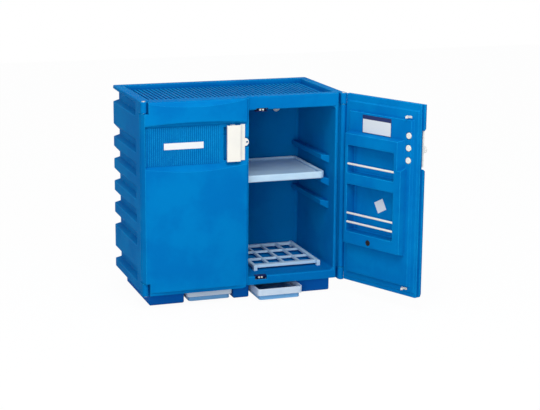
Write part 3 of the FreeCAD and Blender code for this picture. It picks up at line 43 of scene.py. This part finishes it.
def makeCamera(v):
    yaw, pitch, roll = (math.radians(v[name]) for name in ("yaw", "pitch", "roll"))
    ahead = Vector((math.sin(yaw) * math.cos(pitch), math.cos(yaw) * math.cos(pitch), -math.sin(pitch)))
    level = Vector((math.cos(yaw), -math.sin(yaw), 0))
    upright = level.cross(ahead)
    right = level * math.cos(roll) + upright * math.sin(roll)
    up = upright * math.cos(roll) - level * math.sin(roll)
    data = bpy.data.cameras.new("camera")
    data.sensor_width = v["sensor"]
    data.lens = v["focalPixels"] * v["sensor"] / v["imageWidth"]
    data.clip_end = v["sees"]
    eye = bpy.data.objects.new("camera", data)
    scene.collection.objects.link(eye)
    turn = Matrix((right, up, -ahead)).transposed().to_4x4()
    eye.matrix_world = Matrix.Translation(v["place"]) @ turn
    scene.camera = eye


makeCamera(camera)
print("camera placed")


# A socket that can be used in sums
class Wire:
    def __init__(self, tree, socket):
        self.tree = tree
        self.socket = socket

    def maths(self, operation, *values):
        return self.tree.node("ShaderNodeMath", {"operation": operation}, dict(enumerate(values)))

    def __add__(self, other):
        return self.maths("ADD", self, other)

    __radd__ = __add__

    def __sub__(self, other):
        return self.maths("SUBTRACT", self, other)

    def __rsub__(self, other):
        return self.maths("SUBTRACT", other, self)

    def __mul__(self, other):
        return self.maths("MULTIPLY", self, other)

    __rmul__ = __mul__

    def __truediv__(self, other):
        return self.maths("DIVIDE", self, other)

    def rising(self, low, high):  # 0 below low, 1 above high
        return self.tree.node(
            "ShaderNodeMapRange", {"interpolation_type": "SMOOTHSTEP"},
            {"Value": self, "From Min": low, "From Max": high},
        )


# The nodes of one material, or of the world
class Tree:
    def __init__(self, owner):
        owner.use_nodes = True
        self.nodes = owner.node_tree.nodes
        self.links = owner.node_tree.links
        self.nodes.clear()

    def put(self, socket, value):
        if isinstance(value, Wire):
            self.links.new(value.socket, socket)
        elif hasattr(socket.default_value, "__len__") and not hasattr(value, "__len__"):
            socket.default_value = [value] * len(socket.default_value)
        elif hasattr(value, "__len__") and len(value) == 3 and len(socket.default_value) == 4:
            socket.default_value = (*value, 1)
        else:
            socket.default_value = value

    def node(self, kind, settings=None, sockets=None, out=0):
        made = self.nodes.new(kind)
        for name, value in (settings or {}).items():
            setattr(made, name, value)
        for name, value in (sockets or {}).items():
            self.put(made.inputs[name], value)
        return Wire(self, made.outputs[out]) if len(made.outputs) else None

    def mix(self, factor, first, second):
        kinds = {"data_type": "RGBA", "blend_type": "MIX"}
        return self.node("ShaderNodeMix", kinds, {0: factor, 6: first, 7: second}, 2)

    def noise(self, place, scale, detail=3, roughness=0.5):
        sockets = {"Vector": place, "Scale": scale, "Detail": detail, "Roughness": roughness}
        return self.node("ShaderNodeTexNoise", None, sockets)

    def bump(self, strength, distance, height, normal=None):
        sockets = {"Strength": strength, "Distance": distance, "Height": height}
        if normal is not None:
            sockets["Normal"] = normal
        return self.node("ShaderNodeBump", None, sockets)

    def place(self):
        return self.node("ShaderNodeTexCoord", out="Object")

    def along(self, place, direction):  # how far a place lies along a direction
        settings = {"operation": "DOT_PRODUCT"}
        return self.node("ShaderNodeVectorMath", settings, {0: place, 1: direction}, "Value")

    def rounded(self, radius, samples=8):  # the surface's direction, as if its edges were rounded
        return self.node("ShaderNodeBevel", {"samples": samples}, {"Radius": radius})

    def edges(self, rounded, low, high):  # 1 on outer and inner edges, 0 on flat faces
        flat = self.node("ShaderNodeNewGeometry", out="Normal")
        return (1 - self.along(rounded, flat)).rising(low, high)

    def openness(self, reach, samples=8):  # 1 on open faces, less in corners and recesses of the same piece
        settings = {"samples": samples, "only_local": True}
        return self.node("ShaderNodeAmbientOcclusion", settings, {"Distance": reach}, "AO")

    def seen(self):  # 1 for what the camera sees, also in metal and through glass, 0 for the light given
        rays = self.node("ShaderNodeLightPath").socket.node.outputs
        camera, glossy, through = (
            Wire(self, rays[f"Is {kind} Ray"]) for kind in ("Camera", "Glossy", "Transmission"))
        return (camera + glossy + through).rising(0, 1)

    def finish(self, surface):
        self.node("ShaderNodeOutputMaterial", None, {"Surface": surface})


# A colour as a screen shows it, turned into the shader's own numbers
def colour(red, green, blue):
    def single(value):
        value = value / 255
        return value / 12.92 if value <= 0.04045 else ((value + 0.055) / 1.055) ** 2.4
    return tuple(single(value) for value in (red, green, blue))


# each plastic has a painted shade colour for its corners and recesses and a painted highlight colour for its
# open edges
plastics = {
    "blueMoulding": {
        "base": colour(0, 124, 194), "deep": colour(0, 113, 186), "edgeHighlight": colour(24, 164, 228),
        "hollow": colour(0, 66, 152),
        "rough": 0.6, "shine": 0.015, "grain": 0.3, "grainSize": 700, "waves": 0.35, "edge": 0.005,
        "low": colour(10, 102, 190), "lowShadeBelow": 0.066,  # painted shade: the feet get a deeper tone
    },
    "whiteMoulding": {
        "base": colour(240, 237, 228), "deep": colour(233, 231, 224), "edgeHighlight": colour(245, 243, 236),
        "hollow": colour(150, 170, 196),
        "rough": 0.42, "shine": 0.4, "grain": 0.15, "grainSize": 1200, "waves": 0.1, "edge": 0.0012,
    },
    "paleMoulding": {
        "base": colour(202, 231, 248), "deep": colour(188, 221, 243), "edgeHighlight": colour(226, 240, 249),
        "hollow": colour(96, 152, 210),
        "rough": 0.46, "shine": 0.35, "grain": 0.2, "grainSize": 900, "waves": 0.2, "edge": 0.0025,
    },
    "trayMoulding": {
        "base": colour(216, 229, 239), "deep": colour(198, 217, 236), "edgeHighlight": colour(244, 242, 236),
        "hollow": colour(64, 108, 168),
        "rough": 0.44, "shine": 0.35, "grain": 0.2, "grainSize": 900, "waves": 0.2, "edge": 0.002,
        "low": colour(112, 174, 224), "lowShadeBelow": 0.03,  # painted blue reflection and shade on the tub below the rim
    },
    "catchPlastic": {
        "base": colour(8, 36, 112), "deep": colour(6, 28, 92), "edgeHighlight": colour(20, 56, 140),
        "hollow": colour(4, 18, 64),
        "rough": 0.5, "shine": 0.3, "grain": 0.2, "grainSize": 1500, "waves": 0.0, "edge": 0.0006,
    },
    "blackPlug": {
        "base": colour(26, 20, 22), "deep": colour(16, 13, 15), "edgeHighlight": colour(44, 38, 40),
        "hollow": colour(8, 6, 8),
        "rough": 0.5, "shine": 0.3, "grain": 0.2, "grainSize": 1500, "waves": 0.0, "edge": 0.0006,
    },
}


# what every moulded plastic shares: noises as scale, detail, roughness; spans as where a mask rises
moulding = {
    "cloud": (4, 4, 0.6), "cloudSpan": (0.4, 0.62),
    "waves": (9, 1), "waveHeight": 0.003,
    "grainDetail": 2, "grainHeight": 0.0005,
    # some of these shape painted light: the spans for the edges' painted highlight, the corners' painted
    # shade and the painted tone low down
    "scuffAndHighlightNoise": (60, 5, 0.7), "highlightPatchSpan": (0.35, 0.6), "dullSpan": (0.5, 0.75),
    "edgeSpan": (0.004, 0.12), "lowShadeSpan": (-0.003, 0.001),
    "cornerReach": 0.03, "cornerShadeSpan": (0.1, 0.75), "cornerShadeMost": 0.75,
    "openSpan": (0.6, 0.95), "highlightLeast": 0.35, "highlightMore": 0.5,
    "scuffRough": 0.08, "cloudRough": 0.05, "edgeSmooth": 0.08,
}


# Plastic out of a mould: a faint cloud of tone, slow waves in the wall, a fine grain, a painted highlight on
# open edges and painted shade in corners and recesses; on some plastics also a painted tone low down
def mouldedPlastic(name, v):
    m = moulding
    made = bpy.data.materials.new(name)
    tree = Tree(made)
    place = tree.place()
    cloud = tree.noise(place, *m["cloud"])
    waves = tree.noise(place, *m["waves"])
    fine = tree.noise(place, v["grainSize"], m["grainDetail"])
    scuffAndHighlightNoise = tree.noise(place, *m["scuffAndHighlightNoise"])
    rounded = tree.rounded(v["edge"])
    edge = tree.edges(rounded, *m["edgeSpan"])
    tone = tree.mix(cloud.rising(*m["cloudSpan"]), v["base"], v["deep"])
    # painted shade low down: a deeper tone on the feet, and on the tray's tub a bluer tone for the cabinet's
    # blue reflection and shade
    if "low" in v:
        above = tree.along(place, (0, 0, 1)) - v["lowShadeBelow"]
        tone = tree.mix(1 - above.rising(*m["lowShadeSpan"]), tone, v["low"])
    # painted shade: a darker tone in corners and recesses, where the piece shades itself
    openFace = tree.openness(m["cornerReach"])
    tone = tree.mix((1 - openFace).rising(*m["cornerShadeSpan"]) * m["cornerShadeMost"], tone, v["hollow"])
    # painted highlight: a lighter tone on open edges, uneven along them
    highlitEdge = edge * openFace.rising(*m["openSpan"])
    highlightAmount = m["highlightLeast"] + m["highlightMore"] * scuffAndHighlightNoise.rising(*m["highlightPatchSpan"])
    tone = tree.mix(highlitEdge * highlightAmount, tone, v["edgeHighlight"])
    rough = v["rough"] + m["scuffRough"] * scuffAndHighlightNoise.rising(*m["dullSpan"])
    slow = tree.bump(v["waves"], m["waveHeight"], waves, rounded)
    surface = tree.node("ShaderNodeBsdfPrincipled", None, {
        "Base Color": tone,
        "Roughness": rough + m["cloudRough"] * cloud - m["edgeSmooth"] * edge,
        "Specular IOR Level": v["shine"],
        "Normal": tree.bump(v["grain"], m["grainHeight"], fine, slow),
    })
    tree.finish(surface)
    return made


metals = {
    "steel": {
        "base": colour(196, 198, 202), "shade": 0.75, "rough": 0.28, "rougher": 0.15,
        "brush": (1500, 1500, 90), "brushDepth": 0.15, "brushHeight": 0.0002,
        "dull": (120, 4, 0.6), "dullSpan": (0.4, 0.7),
    },
}


# Turned or pressed metal with a fine brushed grain
def wornMetal(name, v):
    made = bpy.data.materials.new(name)
    tree = Tree(made)
    place = tree.place()
    stretched = tree.node("ShaderNodeMapping", None, {"Vector": place, "Scale": v["brush"]})
    brushed = tree.noise(stretched, 1, 2)
    dull = tree.noise(place, *v["dull"])
    shade = tuple(v["shade"] * part for part in v["base"])
    surface = tree.node("ShaderNodeBsdfPrincipled", None, {
        "Base Color": tree.mix(dull.rising(*v["dullSpan"]), v["base"], shade),
        "Metallic": 1.0,
        "Roughness": v["rough"] + v["rougher"] * dull,
        "Normal": tree.bump(v["brushDepth"], v["brushHeight"], brushed),
    })
    tree.finish(surface)
    return made


# Cards and plates with nothing written on them: a pale sheet, and one with a dark head and border
cards = {
    "plateCard": {"base": colour(236, 237, 238), "shade": colour(226, 228, 232), "rough": 0.42},
    "infoCard": {
        "base": colour(222, 228, 232), "shade": colour(210, 217, 224), "rough": 0.42,
        "node": "right_info_card", "ink": colour(22, 40, 96),
        # as parts of the card's width and height, with the softness of each printed edge
        "head": (0.77, 0.78), "sides": (0.012, 0.016), "ends": (0.024, 0.032),
    },
    "pocketCard": {"base": colour(226, 232, 240), "shade": colour(214, 222, 234), "rough": 0.5},
}
paper = {
    "fibres": (700, 4, 0.7), "fibreSpan": (0.4, 0.7), "fibreTone": 0.5,
    "fibreDepth": 0.1, "fibreHeight": 0.0002, "cloud": (30, 3), "cloudTone": 0.3, "cloudRough": 0.1,
}


# The two lower corners of a card that stands upright, left and right
def cardFoot(node):
    corners = [corner.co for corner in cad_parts[node].data.vertices]
    low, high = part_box(node)
    left = min(corners, key=lambda corner: corner.x).y
    right = max(corners, key=lambda corner: corner.x).y
    near, far = (high[1], low[1]) if left > right else (low[1], high[1])
    return Vector((low[0], near, 0)), Vector((high[0], far, 0))


# 1 where a card is printed: its head and its border
def printed(tree, place, v):
    low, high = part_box(v["node"])
    left, right = cardFoot(v["node"])
    span = (right - left).length
    direction = (right - left) / span
    across = (tree.along(place, tuple(direction)) - left.dot(direction)) / span
    upward = (tree.along(place, (0, 0, 1)) - low[2]) / (high[2] - low[2])
    inside = (across.rising(*v["sides"]) * (1 - across).rising(*v["sides"])
              * upward.rising(*v["ends"]) * (1 - upward).rising(*v["ends"]))
    return inside.maths("MAXIMUM", 1 - inside, upward.rising(*v["head"]))


def cardStock(name, v):
    made = bpy.data.materials.new(name)
    tree = Tree(made)
    place = tree.place()
    fibres = tree.noise(place, *paper["fibres"])
    cloud = tree.noise(place, *paper["cloud"])
    mottle = fibres.rising(*paper["fibreSpan"]) * paper["fibreTone"] + cloud * paper["cloudTone"]
    tone = tree.mix(mottle, v["base"], v["shade"])
    if "ink" in v:
        tone = tree.mix(printed(tree, place, v), tone, v["ink"])
    surface = tree.node("ShaderNodeBsdfPrincipled", None, {
        "Base Color": tone,
        "Roughness": v["rough"] + paper["cloudRough"] * cloud,
        "Normal": tree.bump(paper["fibreDepth"], paper["fibreHeight"], fibres),
    })
    tree.finish(surface)
    return made


materials = {name: mouldedPlastic(name, values) for name, values in plastics.items()}
materials.update({name: wornMetal(name, values) for name, values in metals.items()})
materials.update({name: cardStock(name, values) for name, values in cards.items()})
print("finishes made:", len(materials))

# which finish each sub-part wears, by a word in its name, the first that fits
wearing = (
    ("screws", "steel"), ("hinge_pin", "steel"), ("bracket", "catchPlastic"), ("arm", "catchPlastic"),
    ("roller", "whiteMoulding"), ("strike", "whiteMoulding"), ("handle", "whiteMoulding"),
    ("caps", "whiteMoulding"), ("rod", "whiteMoulding"), ("plug", "blackPlug"), ("plate", "plateCard"),
    ("info_card", "infoCard"), ("pocket_card", "pocketCard"), ("shelf", "paleMoulding"),
    ("rack", "paleMoulding"), ("tray", "trayMoulding"), ("door", "blueMoulding"), ("cabinet", "blueMoulding"),
)
for node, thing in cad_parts.items():
    thing.data.materials.clear()
    thing.data.materials.append(materials[next(finish for word, finish in wearing if word in node)])
print("finishes on")

# a soft lamp high before the doors, one far off at the left, a weak one above, and a pale room
light = {
    "world": 0.62,
    "backdrop": 1.0,
    "lamps": (
        # name, place, aimed at, size, watts
        ("mainLamp", (-0.3, -2.0, 2.7), (0, -0.25, 0.9), 1.4, 36),
        ("lowLamp", (-2.2, -4.6, 1.3), (0.3, 0, 0.5), 2.0, 54),
        ("topLamp", (-0.2, 0.4, 3.2), (0, 0, 0.9), 1.6, 4),
    ),
}


def makeLight(v):
    for name, place, target, size, watts in v["lamps"]:
        data = bpy.data.lights.new(name, "AREA")
        data.shape = "DISK"
        data.size = size
        data.energy = watts
        lamp = bpy.data.objects.new(name, data)
        scene.collection.objects.link(lamp)
        lamp.location = place
        lamp.rotation_euler = (Vector(target) - Vector(place)).to_track_quat("-Z", "Y").to_euler()
    world = bpy.data.worlds.new("room")
    scene.world = world
    tree = Tree(world)
    strength = v["world"] + tree.seen() * (v["backdrop"] - v["world"])
    back = tree.node("ShaderNodeBackground", None, {"Color": (1, 1, 1), "Strength": strength})
    tree.node("ShaderNodeOutputWorld", None, {"Surface": back})


floor = {"size": 16.0, "colour": colour(205, 207, 210), "white": 0.93, "glow": 1.03}


# A pale floor that is white to the camera, except where the cabinet shades it a little
def makeFloor(v):
    mesh = bpy.data.meshes.new("floor")
    half = v["size"] / 2
    shape = bmesh.new()
    corners = [shape.verts.new((x * half, y * half, 0)) for x, y in ((-1, -1), (1, -1), (1, 1), (-1, 1))]
    shape.faces.new(corners)
    shape.to_mesh(mesh)
    shape.free()
    thing = bpy.data.objects.new("floor", mesh)
    scene.collection.objects.link(thing)
    made = bpy.data.materials.new("floorPaint")
    tree = Tree(made)
    paint = tree.node("ShaderNodeBsdfDiffuse", None, {"Color": v["colour"]})
    white = tree.node("ShaderNodeEmission", None, {"Color": (1, 1, 1), "Strength": v["glow"]})
    tree.finish(tree.node("ShaderNodeMixShader", None, {0: tree.seen() * v["white"], 1: paint, 2: white}))
    mesh.materials.append(made)


makeLight(light)
makeFloor(floor)
print("light and floor made")
